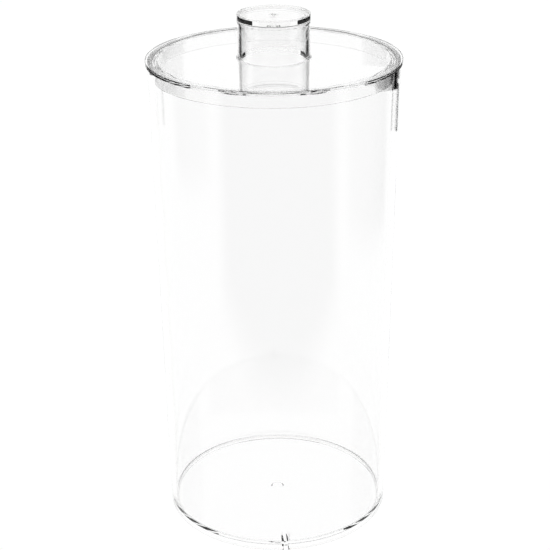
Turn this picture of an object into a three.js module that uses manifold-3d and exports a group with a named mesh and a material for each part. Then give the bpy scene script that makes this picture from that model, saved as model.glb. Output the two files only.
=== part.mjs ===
// Clear moulded display and specimen jar: a tall, slightly tapered jar body on a low foot ring, and a
// lift-off lid whose plug skirt drops inside the mouth and whose hollow knob is moulded in one with it.
// Millimetres, +Z up, origin at the centre of the foot ring, on the surface that the jar stands on.

import * as THREE from 'three';
import { mergeVertices } from 'three/addons/utils/BufferGeometryUtils.js';
import Module from 'manifold-3d';

const wasm = await Module();
wasm.setup();

// ---- driving dimensions -------------------------------------------------------------------------

const segments = 72; // facets round every turned surface
const arc_steps = 4; // facets across a rounded corner

const jar = {
  rim_height: 234.15, // the rim plane, where the lid's flange rests
  rim_radius: 59.0, // outside, at the rim
  rim_corner: 1.0, // lead-in inside the mouth
  base_radius: 56.0, // outside, just above the foot: the side wall has moulding draft
  wall: 2.5,
  foot_height: 2.9, // the floor's underside stands this far off the table
  foot_inner_radius: 53.5, // the foot ring carries the side wall on below the floor
  foot_corner: 1.2, // outside corner of the foot
  foot_inner_corner: 0.8,
  floor_top: 4.1,
  floor_corner: 1.5, // inside corner between floor and wall
};

const notch = { width: 2.4, height: 2.9 }; // drain notch through the foot ring, at the front

const gate_dimple = { radius: 3.3, depth: 0.4, slope: 0.4 }; // in the middle of the floor's underside

const lid = {
  thickness: 1.85, // plate and flange
  flange_radius: 60.0,
  skirt_outer_radius: 55.9,
  skirt_draft: 0.1, // each side of the skirt draws in this much towards its lower edge
  skirt_wall: 1.3,
  skirt_corner: 0.3, // inside, where the skirt meets the plate
  skirt_depth: 6.45, // below the rim plane
};

const knob = {
  height: 20.5, // above the lid plate
  cap_radius: 17.15,
  cap_height: 4.4, // the cap's side is a shallow band, this high, that stands proud of the tube
  tube_top_radius: 16.65,
  tube_root_radius: 17.0,
  root_fillet: 0.8,
  bore_top_radius: 15.2,
  bore_mouth_radius: 15.35,
  bore_depth_below_top: 3.05, // from the knob's top down to the ceiling of its hollow
  bore_corner: 1.2,
  rim_width: 1.05, // raised rim round the recess in the cap's top
  recess_depth: 0.85,
};

const gate_well = { radius: 2.2, depth: 0.9, slope: 0.4 }; // sunk spot in the middle of the recess
const gate_nub = { radius: 0.8, height: 1.5 }; // moulding vestige that stands in the well

// ---- worked-out levels --------------------------------------------------------------------------

const lid_top = jar.rim_height + lid.thickness;
const knob_top = lid_top + knob.height;
const cap_bottom = knob_top - knob.cap_height;
const bore_ceiling = knob_top - knob.bore_depth_below_top;
const recess_floor = knob_top - knob.recess_depth;
const well_floor = recess_floor - gate_well.depth;
const recess_radius = knob.cap_radius - knob.rim_width;
const skirt_bottom = jar.rim_height - lid.skirt_depth;
const skirt_inner_radius = lid.skirt_outer_radius - lid.skirt_wall;
const dimple_top = jar.foot_height + gate_dimple.depth;

// ---- helpers ------------------------------------------------------------------------------------

const point = (radius, height) => new THREE.Vector2(radius, height);

// Points of a quarter circle from start_degrees, turning by turn_degrees, round (radius, height).
function quarter(radius, height, size, start_degrees, turn_degrees) {
  const points = [];
  for (let step = 0; step <= arc_steps; step += 1) {
    const angle = THREE.MathUtils.degToRad(start_degrees + (turn_degrees * step) / arc_steps);
    points.push(point(radius + size * Math.cos(angle), height + size * Math.sin(angle)));
  }
  return points;
}

// A solid of revolution about Z. The outline runs anticlockwise round the material, axis to axis.
function turned(outline) {
  const geometry = new THREE.LatheGeometry(outline, segments);
  geometry.rotateX(Math.PI / 2);
  return geometry;
}

function to_manifold(geometry) {
  const bare = geometry.clone();
  bare.deleteAttribute('normal');
  bare.deleteAttribute('uv');
  const merged = mergeVertices(bare);
  return new wasm.Manifold(new wasm.Mesh({
    numProp: 3,
    vertProperties: new Float32Array(merged.attributes.position.array),
    triVerts: new Uint32Array(merged.index.array),
  }));
}

function to_geometry(manifold) {
  const mesh = manifold.getMesh();
  const geometry = new THREE.BufferGeometry();
  geometry.setAttribute('position', new THREE.BufferAttribute(mesh.vertProperties, 3));
  geometry.setIndex(new THREE.BufferAttribute(mesh.triVerts, 1));
  geometry.computeVertexNormals();
  return geometry;
}

// ---- jar body -----------------------------------------------------------------------------------

function jar_geometry() {
  const inner_base_radius = jar.base_radius - jar.wall;
  const inner_rim_radius = jar.rim_radius - jar.wall;
  const foot_corner_radius = jar.base_radius - jar.foot_corner;
  const floor_corner_radius = inner_base_radius - jar.floor_corner;
  const outline = [
    point(0, dimple_top),
    point(gate_dimple.radius - gate_dimple.slope, dimple_top),
    point(gate_dimple.radius, jar.foot_height),
    point(jar.foot_inner_radius, jar.foot_height),
    ...quarter(
      jar.foot_inner_radius + jar.foot_inner_corner,
      jar.foot_inner_corner,
      jar.foot_inner_corner,
      180,
      90,
    ),
    ...quarter(foot_corner_radius, jar.foot_corner, jar.foot_corner, -90, 90),
    point(jar.rim_radius, jar.rim_height),
    ...quarter(
      inner_rim_radius + jar.rim_corner,
      jar.rim_height - jar.rim_corner,
      jar.rim_corner,
      90,
      90,
    ),
    ...quarter(floor_corner_radius, jar.floor_top + jar.floor_corner, jar.floor_corner, 0, -90),
    point(0, jar.floor_top),
  ];
  const through = 2; // the cutter runs this far past the ring on each side and below
  const cutter_length = jar.base_radius - jar.foot_inner_radius + 2 * through;
  const cutter = new THREE.BoxGeometry(notch.width, cutter_length, notch.height + through);
  cutter.translate(
    0,
    -(jar.base_radius + jar.foot_inner_radius) / 2,
    (notch.height - through) / 2,
  );
  return to_geometry(to_manifold(turned(outline)).subtract(to_manifold(cutter)));
}

// ---- lid ----------------------------------------------------------------------------------------

function lid_geometry() {
  const bore_corner_radius = knob.bore_top_radius - knob.bore_corner;
  const outline = [
    point(0, bore_ceiling),
    ...quarter(bore_corner_radius, bore_ceiling - knob.bore_corner, knob.bore_corner, 90, -90),
    point(knob.bore_mouth_radius, jar.rim_height),
    ...quarter(
      skirt_inner_radius - lid.skirt_corner,
      jar.rim_height - lid.skirt_corner,
      lid.skirt_corner,
      90,
      -90,
    ),
    point(skirt_inner_radius + lid.skirt_draft, skirt_bottom),
    point(lid.skirt_outer_radius - lid.skirt_draft, skirt_bottom),
    point(lid.skirt_outer_radius, jar.rim_height),
    point(lid.flange_radius, jar.rim_height),
    point(lid.flange_radius, lid_top),
    ...quarter(
      knob.tube_root_radius + knob.root_fillet,
      lid_top + knob.root_fillet,
      knob.root_fillet,
      -90,
      -90,
    ),
    point(knob.tube_top_radius, cap_bottom),
    point(knob.cap_radius, cap_bottom),
    point(knob.cap_radius, knob_top),
    point(recess_radius, knob_top),
    point(recess_radius, recess_floor),
    point(gate_well.radius, recess_floor),
    point(gate_well.radius - gate_well.slope, well_floor),
    point(gate_nub.radius, well_floor),
    point(0, well_floor + gate_nub.height),
  ];
  return turned(outline);
}

// ---- materials and assembly ---------------------------------------------------------------------

function clear_plastic(name, colour) {
  const material = new THREE.MeshStandardMaterial({ color: colour, roughness: 0.05, metalness: 0 });
  material.name = name;
  material.transparent = true;
  material.opacity = 0.25;
  return material;
}

function named_mesh(name, geometry, material) {
  const mesh = new THREE.Mesh(geometry, material);
  mesh.name = name;
  return mesh;
}

const group = new THREE.Group();
group.add(named_mesh('jar_body', jar_geometry(), clear_plastic('clear_jar_plastic', 0xf4f6f7)));
group.add(named_mesh('lid', lid_geometry(), clear_plastic('clear_lid_plastic', 0xf2f4f6)));

export default group;
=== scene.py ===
"""Looks of the clear moulded specimen jar: both mouldings, their plastic, the stage and the camera."""

import math

import bpy
from mathutils import Matrix, Vector


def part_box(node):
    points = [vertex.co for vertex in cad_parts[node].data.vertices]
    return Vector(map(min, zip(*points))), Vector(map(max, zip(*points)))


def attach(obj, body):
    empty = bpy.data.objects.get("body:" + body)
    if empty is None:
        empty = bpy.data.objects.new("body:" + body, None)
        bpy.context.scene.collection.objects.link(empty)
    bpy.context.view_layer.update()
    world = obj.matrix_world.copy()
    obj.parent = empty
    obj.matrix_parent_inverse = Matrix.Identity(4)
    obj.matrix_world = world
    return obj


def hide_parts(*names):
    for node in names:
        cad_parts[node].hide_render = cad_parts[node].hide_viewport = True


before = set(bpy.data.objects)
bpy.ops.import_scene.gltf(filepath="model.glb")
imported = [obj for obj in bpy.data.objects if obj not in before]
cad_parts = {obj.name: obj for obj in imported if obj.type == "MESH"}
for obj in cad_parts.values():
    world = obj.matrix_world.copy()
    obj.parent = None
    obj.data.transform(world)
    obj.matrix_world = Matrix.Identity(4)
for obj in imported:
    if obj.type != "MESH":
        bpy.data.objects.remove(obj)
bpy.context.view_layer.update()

# ---- driving dimensions, in millimetres as the design has them ------------------------------------

MM = 0.001
_, jar_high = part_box("jar_body")
lid_low, lid_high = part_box("lid")
RIM_Z = jar_high[2] / MM
RIM_RADIUS = jar_high[0] / MM
FLANGE_RADIUS = lid_high[0] / MM
KNOB_TOP_Z = lid_high[2] / MM
SKIRT_BOTTOM_Z = lid_low[2] / MM

# the jar
BASE_RADIUS = 56.0
WALL = 2.5
RIM_EDGE = 0.15
RIM_LEAD_IN = 1.0      # rounding inside the mouth
FLOOR_TOP_Z = 4.1
FLOOR_CORNER = 1.5
FOOT_HEIGHT = 2.9
FOOT_INNER_RADIUS = 53.5
FOOT_CEILING_ROUNDING = 0.5  # between the foot ring and the floor's underside
FOOT_INNER_ROUNDING = 0.8
FOOT_OUTER_ROUNDING = 1.2
NOTCH_WIDTH = 2.4
DIMPLE_RADIUS = 3.3
DIMPLE_DEPTH = 0.4
DIMPLE_SLOPE = 0.6
DIMPLE_EDGE = 0.25

# the lid's plate and skirt
LID_THICKNESS = 1.85
REST_GAP = 0.03        # air left between the flange and the rim that it rests on
FLANGE_LOWER_EDGE = 0.24
FLANGE_UPPER_EDGE = 0.1
SKIRT_OUTER_RADIUS = 55.9
SKIRT_WALL = 1.3
SKIRT_DRAFT = 0.1
SKIRT_CORNER = 0.3
SKIRT_EDGE = 0.2

# the knob
TUBE_ROOT_RADIUS = 17.0
TUBE_TOP_RADIUS = 16.65
ROOT_FILLET = 0.8
CAP_RADIUS = 17.15
CAP_HEIGHT = 4.4
CAP_RIM_WIDTH = 1.05
CAP_EDGE = 0.3
CAP_LOWER_EDGE = 0.2
HOLLOW_DEPTH = 3.05    # from the knob's top down to the ceiling of its hollow
HOLLOW_TOP_RADIUS = 15.2
HOLLOW_MOUTH_RADIUS = 15.35
HOLLOW_CORNER = 1.2
HOLLOW_MOUTH_ROUNDING = 0.5
RECESS_DEPTH = 0.85
RECESS_CORNER = 0.35

# the gate well in the knob's recess, and the nub that the gate left in it
WELL_RADIUS = 2.2
WELL_DEPTH = 0.9
WELL_SLOPE = 0.4
WELL_EDGE = 0.2
NUB_ROOT_RADIUS = 0.8
NUB_TIP_RADIUS = 0.2
NUB_TIP_EDGE = 0.1
NUB_SHOULDER_DROP = 0.3   # from the knob's top down to the edge of the nub's tip
NUB_TIP_DROP = 0.25

# ---- fineness of the meshes -----------------------------------------------------------------------

COLUMNS = 288          # facets round the lid, and round the jar beside its notch
NOTCH_COLUMNS = 4
STEPS_PER_TURN = 40    # facets of a full circle in a rounded corner
FEWEST_STEPS = 3       # facets of the smallest rounded corner
LONGEST_FACET = 12.0   # longer straight stretches of an outline are divided
TINY = 1e-6
SLACK = 1e-4           # lets an outline point count as reaching a radius or a height


# ---- turned meshes --------------------------------------------------------------------------------

def rounded_outline(corners):
    """Turns (radius, height, rounding) corners into segments: (start, end, start normal, end normal).

    The corners run anticlockwise round the material, so each segment's outward normal is on its right.
    """
    points = [Vector((r, z)) for r, z, _ in corners]
    cuts = []
    for i, (_, _, rounding) in enumerate(corners):
        here = points[i]
        if rounding <= 0 or i in (0, len(corners) - 1):
            cuts.append((here, here, None))
            continue
        back = (points[i - 1] - here).normalized()
        ahead = (points[i + 1] - here).normalized()
        half = math.acos(max(-1.0, min(1.0, back.dot(ahead)))) / 2
        reach = rounding / math.tan(half)
        centre = here + (back + ahead).normalized() * (rounding / math.sin(half))
        cuts.append((here + back * reach, here + ahead * reach, centre))
    segments = []
    for i in range(len(corners)):
        arrive, leave, centre = cuts[i]
        if centre is not None:
            segments += arc(arrive, leave, centre)
        if i + 1 < len(corners):
            segments += straight(leave, cuts[i + 1][0])
    return segments


def arc(arrive, leave, centre):
    """Facets of the rounded corner about centre, from arrive to leave."""
    first = (arrive - centre).normalized()
    last = (leave - centre).normalized()
    radius = (arrive - centre).length
    turn = math.atan2(first.x * last.y - first.y * last.x, first.dot(last))
    steps = max(FEWEST_STEPS, math.ceil(abs(turn) / (2 * math.pi) * STEPS_PER_TURN))
    outward = 1.0 if turn > 0 else -1.0
    spokes = [Matrix.Rotation(turn * step / steps, 2) @ first for step in range(steps + 1)]
    return [
        (centre + a * radius, centre + b * radius, a * outward, b * outward)
        for a, b in zip(spokes, spokes[1:])
    ]


def straight(start, end):
    """Facets of the straight stretch from start to end, none longer than LONGEST_FACET."""
    along = end - start
    if along.length < TINY:
        return []
    normal = Vector((along.y, -along.x)).normalized()
    pieces = math.ceil(along.length / LONGEST_FACET)
    stops = [start.lerp(end, k / pieces) for k in range(pieces + 1)]
    return [(a, b, normal, normal) for a, b in zip(stops, stops[1:])]


class TurnedMesh:
    """Gathers the vertices, faces and corner normals of a turned solid. angles are its columns."""

    def __init__(self, angles):
        self.angles = angles
        self.vertices = []
        self.faces = []
        self.normals = []

    def rows(self, outline):
        """The rows of vertices at the ends of the outline's segments, one more than there are segments."""
        return [self.row(outline[0][0])] + [self.row(segment[1]) for segment in outline]

    def row(self, point):
        """One vertex for each column at this (radius, height), or a single one on the axis."""
        start = len(self.vertices)
        if point.x < TINY:
            self.vertices.append((0.0, 0.0, point.y * MM))
            return [start] * len(self.angles)
        for angle in self.angles:
            self.vertices.append(self.place(point, angle))
        return list(range(start, start + len(self.angles)))

    @staticmethod
    def place(point, angle):
        return (point.x * MM * math.cos(angle), point.x * MM * math.sin(angle), point.y * MM)

    def face(self, corners):
        """corners are (vertex, normal), and a vertex that comes twice is kept once."""
        kept = []
        for vertex, normal in corners:
            if vertex not in [other for other, _ in kept]:
                kept.append((vertex, normal))
        self.faces.append([vertex for vertex, _ in kept])
        self.normals += [normal for _, normal in kept]

    def strip(self, lower, upper, first, last, columns):
        """Quads between two rows of vertices in these columns, with first and last as outline normals."""
        count = len(self.angles)
        for c in columns:
            d = (c + 1) % count
            corners = (
                (lower[c], self.turned_normal(first, c)),
                (lower[d], self.turned_normal(first, d)),
                (upper[d], self.turned_normal(last, d)),
                (upper[c], self.turned_normal(last, c)),
            )
            self.face(corners)

    def turned_normal(self, normal, column):
        angle = self.angles[column]
        return Vector((normal.x * math.cos(angle), normal.x * math.sin(angle), normal.y)).normalized()

    def piece(self, name):
        mesh = bpy.data.meshes.new(name)
        mesh.from_pydata(self.vertices, [], self.faces)
        mesh.update()
        mesh.shade_smooth()
        mesh.normals_split_custom_set(self.normals)
        piece = bpy.data.objects.new(name, mesh)
        bpy.context.scene.collection.objects.link(piece)
        return piece


# ---- the jar body ---------------------------------------------------------------------------------

def jar_outline():
    inner_base = BASE_RADIUS - WALL
    inner_rim = RIM_RADIUS - WALL
    foot_draft = (RIM_RADIUS - BASE_RADIUS) / RIM_Z * FOOT_HEIGHT
    dimple_top = FOOT_HEIGHT + DIMPLE_DEPTH
    return rounded_outline([
        (0.0, dimple_top, 0),
        (DIMPLE_RADIUS - DIMPLE_SLOPE, dimple_top, DIMPLE_EDGE),
        (DIMPLE_RADIUS, FOOT_HEIGHT, DIMPLE_EDGE),
        (FOOT_INNER_RADIUS, FOOT_HEIGHT, FOOT_CEILING_ROUNDING),
        (FOOT_INNER_RADIUS, 0.0, FOOT_INNER_ROUNDING),
        (BASE_RADIUS, 0.0, FOOT_OUTER_ROUNDING),
        (BASE_RADIUS + foot_draft, FOOT_HEIGHT, 0),
        (RIM_RADIUS, RIM_Z, RIM_EDGE),
        (inner_rim, RIM_Z, RIM_LEAD_IN),
        (inner_base, FLOOR_TOP_Z, FLOOR_CORNER),
        (0.0, FLOOR_TOP_Z, 0),
    ])


def jar_body():
    """The turned jar, with the drain notch left out of its foot ring at the front, at -Y."""
    front = -math.pi / 2
    half_width = math.asin(NOTCH_WIDTH / 2 / ((FOOT_INNER_RADIUS + BASE_RADIUS) / 2))
    rest = 2 * (math.pi - half_width)
    angles = [front - half_width + 2 * half_width * k / NOTCH_COLUMNS for k in range(NOTCH_COLUMNS)]
    angles += [front + half_width + rest * k / COLUMNS for k in range(COLUMNS)]
    solid = TurnedMesh(angles)
    outline = jar_outline()
    rows = solid.rows(outline)
    inner_end = FOOT_INNER_RADIUS - FOOT_CEILING_ROUNDING
    ring_start = next(k for k, s in enumerate(outline) if s[0].x > inner_end - SLACK)
    ring_end = next(k for k, s in enumerate(outline) if s[1].x > BASE_RADIUS and s[1].y > FOOT_HEIGHT - SLACK)
    in_notch = range(NOTCH_COLUMNS)
    beside = range(NOTCH_COLUMNS, len(angles))
    for k, (_, _, first, last) in enumerate(outline):
        in_ring = ring_start <= k <= ring_end
        solid.strip(rows[k], rows[k + 1], first, last, beside if in_ring else range(len(angles)))
    down = Vector((0.0, -1.0))
    solid.strip(rows[ring_start], rows[ring_end + 1], down, down, in_notch)
    for column, facing in ((0, 1.0), (NOTCH_COLUMNS, -1.0)):
        across = Vector((-math.sin(angles[column]), math.cos(angles[column]), 0.0)) * facing
        side = [(rows[k][column], across) for k in range(ring_start, ring_end + 2)]
        solid.face(side if facing > 0 else side[::-1])
    return solid.piece("jar_body_shell")


# ---- the lid --------------------------------------------------------------------------------------

def lid_outline():
    plate_z = RIM_Z + REST_GAP
    top_z = RIM_Z + LID_THICKNESS
    cap_z = KNOB_TOP_Z - CAP_HEIGHT
    hollow_z = KNOB_TOP_Z - HOLLOW_DEPTH
    recess_z = KNOB_TOP_Z - RECESS_DEPTH
    well_z = recess_z - WELL_DEPTH
    skirt_inner = SKIRT_OUTER_RADIUS - SKIRT_WALL
    return rounded_outline([
        (0.0, hollow_z, 0),
        (HOLLOW_TOP_RADIUS, hollow_z, HOLLOW_CORNER),
        (HOLLOW_MOUTH_RADIUS, plate_z, HOLLOW_MOUTH_ROUNDING),
        (skirt_inner, plate_z, SKIRT_CORNER),
        (skirt_inner + SKIRT_DRAFT, SKIRT_BOTTOM_Z, SKIRT_EDGE),
        (SKIRT_OUTER_RADIUS - SKIRT_DRAFT, SKIRT_BOTTOM_Z, SKIRT_EDGE),
        (SKIRT_OUTER_RADIUS, plate_z, SKIRT_EDGE),
        (FLANGE_RADIUS, plate_z, FLANGE_LOWER_EDGE),
        (FLANGE_RADIUS, top_z, FLANGE_UPPER_EDGE),
        (TUBE_ROOT_RADIUS, top_z, ROOT_FILLET),
        (TUBE_TOP_RADIUS, cap_z, CAP_EDGE),
        (CAP_RADIUS, cap_z, CAP_LOWER_EDGE),
        (CAP_RADIUS, KNOB_TOP_Z, CAP_EDGE),
        (CAP_RADIUS - CAP_RIM_WIDTH, KNOB_TOP_Z, CAP_EDGE),
        (CAP_RADIUS - CAP_RIM_WIDTH, recess_z, RECESS_CORNER),
        (WELL_RADIUS, recess_z, WELL_EDGE),
        (WELL_RADIUS - WELL_SLOPE, well_z, WELL_EDGE),
        (NUB_ROOT_RADIUS, well_z, WELL_EDGE),
        (NUB_TIP_RADIUS, KNOB_TOP_Z - NUB_SHOULDER_DROP, NUB_TIP_EDGE),
        (0.0, KNOB_TOP_Z - NUB_TIP_DROP, 0),
    ])


def lid():
    solid = TurnedMesh([2 * math.pi * column / COLUMNS for column in range(COLUMNS)])
    outline = lid_outline()
    rows = solid.rows(outline)
    for k, (_, _, first, last) in enumerate(outline):
        solid.strip(rows[k], rows[k + 1], first, last, range(COLUMNS))
    return solid.piece("lid_moulding")


# ---- clear plastic --------------------------------------------------------------------------------

PLASTIC_INDEX = 1.49
PLASTIC_TINT = (0.99, 0.99, 0.99, 1.0)
WAVE_SCALE = 60.0
WAVE_DETAIL = 1.0
WAVE_STRENGTH = 0.008
WAVE_HEIGHT = 0.0005     # in metres, before the strength is applied
SCUFF_SCALE = 90.0
SCUFF_DETAIL = 6.0
SCUFF_START = 0.55       # noise below this leaves the plastic polished
SCUFF_FULL = 0.8
SCUFF_ROUGHNESS = 0.008


def clear_plastic(name):
    """Clear moulded plastic: polished, very slightly wavy as mouldings are, with a few faint scuffs."""
    material = bpy.data.materials.new(name)
    material.use_nodes = True
    nodes = material.node_tree.nodes
    links = material.node_tree.links
    shader = nodes["Principled BSDF"]
    shader.inputs["Base Color"].default_value = PLASTIC_TINT
    shader.inputs["Transmission Weight"].default_value = 1.0
    shader.inputs["IOR"].default_value = PLASTIC_INDEX
    place = nodes.new("ShaderNodeTexCoord")
    waves = nodes.new("ShaderNodeTexNoise")
    waves.inputs["Scale"].default_value = WAVE_SCALE
    waves.inputs["Detail"].default_value = WAVE_DETAIL
    links.new(place.outputs["Object"], waves.inputs["Vector"])
    bump = nodes.new("ShaderNodeBump")
    bump.inputs["Strength"].default_value = WAVE_STRENGTH
    bump.inputs["Distance"].default_value = WAVE_HEIGHT
    links.new(waves.outputs["Fac"], bump.inputs["Height"])
    links.new(bump.outputs["Normal"], shader.inputs["Normal"])
    scuffs = nodes.new("ShaderNodeTexNoise")
    scuffs.inputs["Scale"].default_value = SCUFF_SCALE
    scuffs.inputs["Detail"].default_value = SCUFF_DETAIL
    links.new(place.outputs["Object"], scuffs.inputs["Vector"])
    spread = nodes.new("ShaderNodeMapRange")
    spread.inputs["From Min"].default_value = SCUFF_START
    spread.inputs["From Max"].default_value = SCUFF_FULL
    spread.inputs["To Min"].default_value = 0.0
    spread.inputs["To Max"].default_value = SCUFF_ROUGHNESS
    links.new(scuffs.outputs["Fac"], spread.inputs["Value"])
    links.new(spread.outputs["Result"], shader.inputs["Roughness"])
    return material


for piece, body, node, slot in (
    (jar_body(), "jar", "jar_body", "clear_jar_plastic"),
    (lid(), "lid", "lid", "clear_lid_plastic"),
):
    piece.data.materials.append(clear_plastic(slot))
    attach(piece, body)
    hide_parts(node)


# ---- stage, in metres and degrees -----------------------------------------------------------------

STUDIO_WHITE = 1.015   # the floor and the surroundings are lit until they are just over plain white
BLACK = 0.0
PRINT_GAMMA = 0.7      # darkens the middle tones, for the photo's hard contrast
LIGHT_BOUNCES = 64     # light is led a long way inside the plate and the floor
FLOOR_HALF = 6.0
JUST_ABOVE = 0.001     # floor cards lie this far above the floor
FLOOR_CARD_OUTER = 5.0
NEAR_FADE = 0.14       # a floor card fades over this length at its near edge
FADE_STEPS = 6
CARD_STEP = 5          # a bent card has about one flat panel for this many degrees
FEWEST_PANELS = 2


def emitter(name, level):
    material = bpy.data.materials.new(name)
    material.use_nodes = True
    nodes = material.node_tree.nodes
    nodes.clear()
    glow = nodes.new("ShaderNodeEmission")
    glow.inputs["Color"].default_value = (level, level, level, 1.0)
    output = nodes.new("ShaderNodeOutputMaterial")
    material.node_tree.links.new(glow.outputs["Emission"], output.inputs["Surface"])
    return material


def staged(name, vertices, faces, level):
    mesh = bpy.data.meshes.new(name)
    mesh.from_pydata(vertices, [], faces)
    mesh.materials.append(emitter(name + "_tone", level))
    panel = bpy.data.objects.new(name, mesh)
    bpy.context.scene.collection.objects.link(panel)
    return panel


def off_camera(panel):
    """Leaves the panel to be seen only through or in the plastic."""
    panel.visible_camera = False
    panel.visible_diffuse = False
    panel.visible_shadow = False


def bearing(radius, degrees, height):
    """A point at this distance from the jar's axis. Bearing 0 is straight behind it, 90 on its right."""
    angle = math.radians(degrees)
    return (radius * math.sin(angle), radius * math.cos(angle), height)


def card(name, inner, outer, low, high, start, end, level):
    """A bent studio card between two bearings, from (inner radius, low) to (outer radius, high)."""
    steps = max(FEWEST_PANELS, math.ceil((end - start) / CARD_STEP))
    vertices = []
    for k in range(steps + 1):
        degrees = start + (end - start) * k / steps
        vertices.append(bearing(inner, degrees, low))
        vertices.append(bearing(outer, degrees, high))
    faces = [(2 * k, 2 * k + 2, 2 * k + 3, 2 * k + 1) for k in range(steps)]
    off_camera(staged(name, vertices, faces, level))


def smooth_share(value, none, full):
    """0 at none, 1 at full and beyond, with a smooth change between them."""
    share = max(0.0, min(1.0, (value - none) / (full - none)))
    return share * share * (3 - 2 * share)


def floor_card(name, inner, start, end, level, side_fade):
    """A card just above the floor that only shows in reflections.

    It fades to white at its near edge and, over side_fade degrees, at both of its sides.
    """
    near = [inner + NEAR_FADE * k / FADE_STEPS for k in range(FADE_STEPS + 1)]
    radii = near + [FLOOR_CARD_OUTER]
    fade = [side_fade * k / FADE_STEPS for k in range(FADE_STEPS + 1)]
    bearings = [start + turn for turn in fade] + [end - turn for turn in reversed(fade)]
    vertices = []
    tones = []
    for radius in radii:
        for degrees in bearings:
            vertices.append(bearing(radius, degrees, JUST_ABOVE))
            share = smooth_share(degrees, start, start + side_fade)
            share *= smooth_share(degrees, end, end - side_fade)
            share *= smooth_share(radius, inner, inner + NEAR_FADE)
            tones.append(STUDIO_WHITE - (STUDIO_WHITE - level) * share)
    across = len(bearings)
    faces = [
        (i * across + k, i * across + k + 1, (i + 1) * across + k + 1, (i + 1) * across + k)
        for i in range(len(radii) - 1)
        for k in range(across - 1)
    ]
    panel = staged(name, vertices, faces, 1.0)
    attribute = panel.data.attributes.new("tone", "FLOAT", "POINT")
    attribute.data.foreach_set("value", tones)
    tree = panel.data.materials[0].node_tree
    tone = tree.nodes.new("ShaderNodeAttribute")
    tone.attribute_name = "tone"
    tree.links.new(tone.outputs["Fac"], tree.nodes["Emission"].inputs["Color"])
    off_camera(panel)
    panel.visible_transmission = False


floor_corners = [(x * FLOOR_HALF, y * FLOOR_HALF, 0.0) for x, y in ((-1, -1), (1, -1), (1, 1), (-1, 1))]
staged("floor", floor_corners, [(0, 1, 2, 3)], STUDIO_WHITE)

# Each flag stands on the floor, with a thin slit near its foot.
for side, distance, slit_low, slit_high, top, start, end in (
    ("left", 0.84, 0.037, 0.041, 0.65, -75, -24),
    ("right", 0.78, 0.046, 0.050, 0.60, 33, 80),
    ("right_near", 0.64, 0.046, 0.050, 0.56, 28, 33),
):
    card(side + "_flag_foot", distance, distance, 0.0, slit_low, start, end, BLACK)
    card(side + "_flag", distance, distance, slit_high, top, start, end, BLACK)

card("top_flag", inner=0.3, outer=1.3, low=1.2, high=1.2, start=-60, end=60, level=0.1)
card("front_room", inner=1.5, outer=1.5, low=0.25, high=0.8, start=100, end=260, level=BLACK)
floor_card("front_reflection", inner=0.24, start=122, end=238, level=BLACK, side_fade=14)
floor_card("right_reflection", inner=0.36, start=58, end=122, level=0.5, side_fade=12)
floor_card("left_reflection", inner=0.48, start=-122, end=-72, level=0.5, side_fade=12)

world = bpy.data.worlds.new("studio")
bpy.context.scene.world = world
world.use_nodes = True
world.node_tree.nodes["Background"].inputs["Color"].default_value = (1.0, 1.0, 1.0, 1.0)
world.node_tree.nodes["Background"].inputs["Strength"].default_value = STUDIO_WHITE
bpy.context.scene.view_settings.view_transform = "Standard"
bpy.context.scene.view_settings.gamma = PRINT_GAMMA
bpy.context.scene.cycles.max_bounces = LIGHT_BOUNCES
bpy.context.scene.cycles.transmission_bounces = LIGHT_BOUNCES
bpy.context.scene.cycles.glossy_bounces = LIGHT_BOUNCES

# ---- camera ---------------------------------------------------------------------------------------

DISTANCE = 0.648       # from the jar's axis, across the floor
HEIGHT = 0.4067
AZIMUTH = math.radians(-4.1)
AIM_ASIDE = math.radians(0.034)  # the view is centred a little beside the jar's axis
PITCH = math.radians(23.505)
ROLL = math.radians(-0.4956)
FOCAL_LENGTH = 93.06
SENSOR_WIDTH = 36.0
CLIP_END = 100
camera_data = bpy.data.cameras.new("camera")
camera_data.sensor_width = SENSOR_WIDTH
camera_data.lens = FOCAL_LENGTH
camera_data.clip_end = CLIP_END
camera = bpy.data.objects.new("camera", camera_data)
bpy.context.scene.collection.objects.link(camera)
bpy.context.scene.camera = camera
camera.location = (math.sin(AZIMUTH) * DISTANCE, -math.cos(AZIMUTH) * DISTANCE, HEIGHT)
turn = Matrix.Rotation(AZIMUTH + AIM_ASIDE, 4, "Z")
tilt = Matrix.Rotation(math.pi / 2 - PITCH, 4, "X")
lean = Matrix.Rotation(ROLL, 4, "Z")
camera.rotation_euler = (turn @ tilt @ lean).to_euler()
